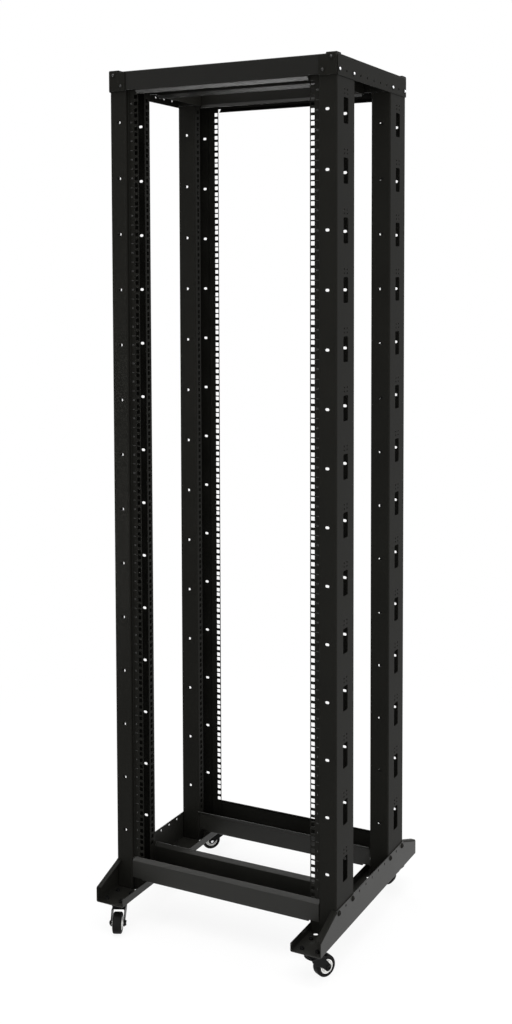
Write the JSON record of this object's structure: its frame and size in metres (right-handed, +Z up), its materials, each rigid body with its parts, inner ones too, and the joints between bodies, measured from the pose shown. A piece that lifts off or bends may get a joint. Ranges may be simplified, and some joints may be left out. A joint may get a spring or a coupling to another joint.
{
  "type": "open frame equipment rack",
  "caption": "Tall open frame equipment rack of folded black steel, with perforated posts, top and base beams, and channel feet on swivel castors.",
  "frame": {"origin": "on the floor under the middle of the rack", "axes": "+X across the rack, -Y the front, +Z up"},
  "size_m": [0.6061, 0.6074, 2.0819],
  "materials": {
    "black_coating": "fine texture matt black powder coating",
    "castor_black": "satin black coating",
    "castor_zinc": "bright zinc plated",
    "castor_tyre": "smooth dark tread",
    "castor_hub": "moulded light grey"
  },
  "bodies": {
    "rack_frame": {"post_front_left": "black_coating", "post_front_right": "black_coating", "post_rear_left": "black_coating", "post_rear_right": "black_coating", "corner_plate_front_left": "black_coating", "corner_plate_front_right": "black_coating", "corner_plate_rear_left": "black_coating", "corner_plate_rear_right": "black_coating", "top_beam_front": "black_coating", "top_beam_rear": "black_coating", "base_beam_front": "black_coating", "base_beam_rear": "black_coating", "side_member_left": "black_coating", "side_member_right": "black_coating", "foot_left": "black_coating", "foot_right": "black_coating", "castor_mount_front_left": "castor_black", "castor_mount_front_right": "castor_black", "castor_mount_rear_left": "castor_black", "castor_mount_rear_right": "castor_black"},
    "fork_front_left": {"castor_ring_front_left": "castor_black", "castor_fork_front_left": "castor_black", "castor_axle_front_left": "castor_zinc"},
    "wheel_front_left": {"castor_tyre_front_left": "castor_tyre", "castor_hub_front_left": "castor_hub"},
    "fork_front_right": {"castor_ring_front_right": "castor_black", "castor_fork_front_right": "castor_black", "castor_axle_front_right": "castor_zinc"},
    "wheel_front_right": {"castor_tyre_front_right": "castor_tyre", "castor_hub_front_right": "castor_hub"},
    "fork_rear_left": {"castor_ring_rear_left": "castor_black", "castor_fork_rear_left": "castor_black", "castor_axle_rear_left": "castor_zinc"},
    "wheel_rear_left": {"castor_tyre_rear_left": "castor_tyre", "castor_hub_rear_left": "castor_hub"},
    "fork_rear_right": {"castor_ring_rear_right": "castor_black", "castor_fork_rear_right": "castor_black", "castor_axle_rear_right": "castor_zinc"},
    "wheel_rear_right": {"castor_tyre_rear_right": "castor_tyre", "castor_hub_rear_right": "castor_hub"}
  },
  "joints": [
    {"name": "swivel_front_left", "type": "hinge", "parent": "rack_frame", "child": "fork_front_left", "pos_m": [-0.262, -0.256, 0.06], "axis": [0, 0, 1], "continuous": true},
    {"name": "roll_front_left", "type": "hinge", "parent": "fork_front_left", "child": "wheel_front_left", "pos_m": [-0.25017, -0.28138, 0.025], "axis": [0.9063, 0.4226, 0], "continuous": true},
    {"name": "swivel_front_right", "type": "hinge", "parent": "rack_frame", "child": "fork_front_right", "pos_m": [0.262, -0.256, 0.06], "axis": [0, 0, 1], "continuous": true},
    {"name": "roll_front_right", "type": "hinge", "parent": "fork_front_right", "child": "wheel_front_right", "pos_m": [0.27558, -0.23151, 0.025], "axis": [-0.8746, 0.4848, 0], "continuous": true},
    {"name": "swivel_rear_left", "type": "hinge", "parent": "rack_frame", "child": "fork_rear_left", "pos_m": [-0.262, 0.256, 0.06], "axis": [0, 0, 1], "continuous": true},
    {"name": "roll_rear_left", "type": "hinge", "parent": "fork_rear_left", "child": "wheel_rear_left", "pos_m": [-0.28281, 0.23726, 0.025], "axis": [0.6691, -0.7431, 0], "continuous": true},
    {"name": "swivel_rear_right", "type": "hinge", "parent": "rack_frame", "child": "fork_rear_right", "pos_m": [0.262, 0.256, 0.06], "axis": [0, 0, 1], "continuous": true},
    {"name": "roll_rear_right", "type": "hinge", "parent": "fork_rear_right", "child": "wheel_rear_right", "pos_m": [0.23402, 0.25698, 0.025], "axis": [-0.0349, -0.9994, 0], "continuous": true}
  ]
}
